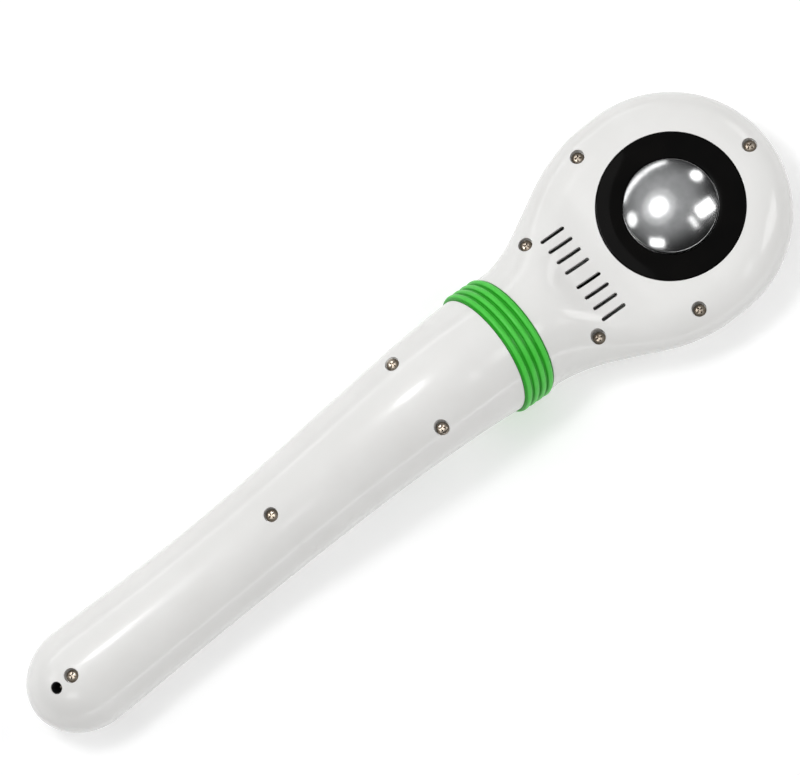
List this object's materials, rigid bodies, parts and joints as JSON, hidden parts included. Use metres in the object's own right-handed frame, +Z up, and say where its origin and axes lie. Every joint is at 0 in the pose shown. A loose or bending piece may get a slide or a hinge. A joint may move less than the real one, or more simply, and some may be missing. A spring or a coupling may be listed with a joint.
{
  "type": "ultrasound therapy device",
  "caption": "Handheld ultrasound therapy wand: round head with a convex metal dome in a black ring, vent slots, green ribbed neck collar, arched white grip with charging inlet.",
  "frame": {"origin": "centre of the bounding box in plan, on the surface the wand lies on", "axes": "+X along the wand toward the treatment head, +Z up out of the treatment dome, +Y across"},
  "size_m": [0.3128, 0.083, 0.0528],
  "materials": {
    "white_abs": "moulded gloss white ABS",
    "bezel_black": "polished black acrylic",
    "dome_metal": "polished, with fine handling marks",
    "seal_rubber": "matte",
    "piezo_ceramic": "fired ceramic",
    "inner_nylon": "glass-filled nylon",
    "screw_nickel": "nickel plated",
    "wire_red": "soft PVC",
    "wire_black": "soft PVC",
    "circuit_board": "solder mask",
    "ferrite": "sintered ferrite",
    "chip_black": "moulded epoxy",
    "sink_aluminium": "extruded",
    "collar_green": "semi-gloss silicone",
    "panel_silver": "satin",
    "button_green": "semi-gloss silicone",
    "button_white": "gloss",
    "led_clear": "clear",
    "cell_sleeve": "shrink sleeve",
    "foam": "closed-cell foam",
    "jack_black": "moulded nylon"
  },
  "bodies": {
    "wand": {"head_front_shell": "white_abs", "head_rear_shell": "white_abs", "handle_front_shell": "white_abs", "handle_rear_shell": "white_abs", "bezel_ring": "bezel_black", "treatment_dome": "dome_metal", "dome_seal": "seal_rubber", "piezo_disc": "piezo_ceramic", "transducer_clamp": "inner_nylon", "neck_tube": "inner_nylon", "buzzer": "inner_nylon", "clamp_screws": "screw_nickel", "head_screws": "screw_nickel", "handle_screws": "screw_nickel", "board_screws": "screw_nickel", "jack_pin": "screw_nickel", "transducer_leads": "wire_red", "battery_leads": "wire_red", "signal_harness": "wire_black", "jack_leads": "wire_black", "driver_board": "circuit_board", "control_board": "circuit_board", "charge_board": "circuit_board", "driver_transformer": "ferrite", "driver_transistors": "chip_black", "switch_bodies": "chip_black", "heat_sink": "sink_aluminium", "neck_collar": "collar_green", "control_panel": "panel_silver", "status_leds": "led_clear", "light_pipes": "led_clear", "battery_cell": "cell_sleeve", "battery_pads": "foam", "dc_jack": "jack_black"},
    "power_key": {"power_button": "button_green", "power_plunger": "chip_black"},
    "level_up_key": {"level_up_button": "button_white", "level_up_plunger": "chip_black"},
    "level_down_key": {"level_down_button": "button_white", "level_down_plunger": "chip_black"}
  },
  "joints": [
    {"name": "power_press", "type": "slide", "parent": "wand", "child": "power_key", "axis": [0, 0, 1], "range_m": [0, 0.0006], "stiffness_N_per_m": 400, "springref_m": -0.0004},
    {"name": "level_up_press", "type": "slide", "parent": "wand", "child": "level_up_key", "axis": [0, 0, 1], "range_m": [0, 0.0006], "stiffness_N_per_m": 400, "springref_m": -0.0004},
    {"name": "level_down_press", "type": "slide", "parent": "wand", "child": "level_down_key", "axis": [0, 0, 1], "range_m": [0, 0.0006], "stiffness_N_per_m": 400, "springref_m": -0.0004}
  ]
}
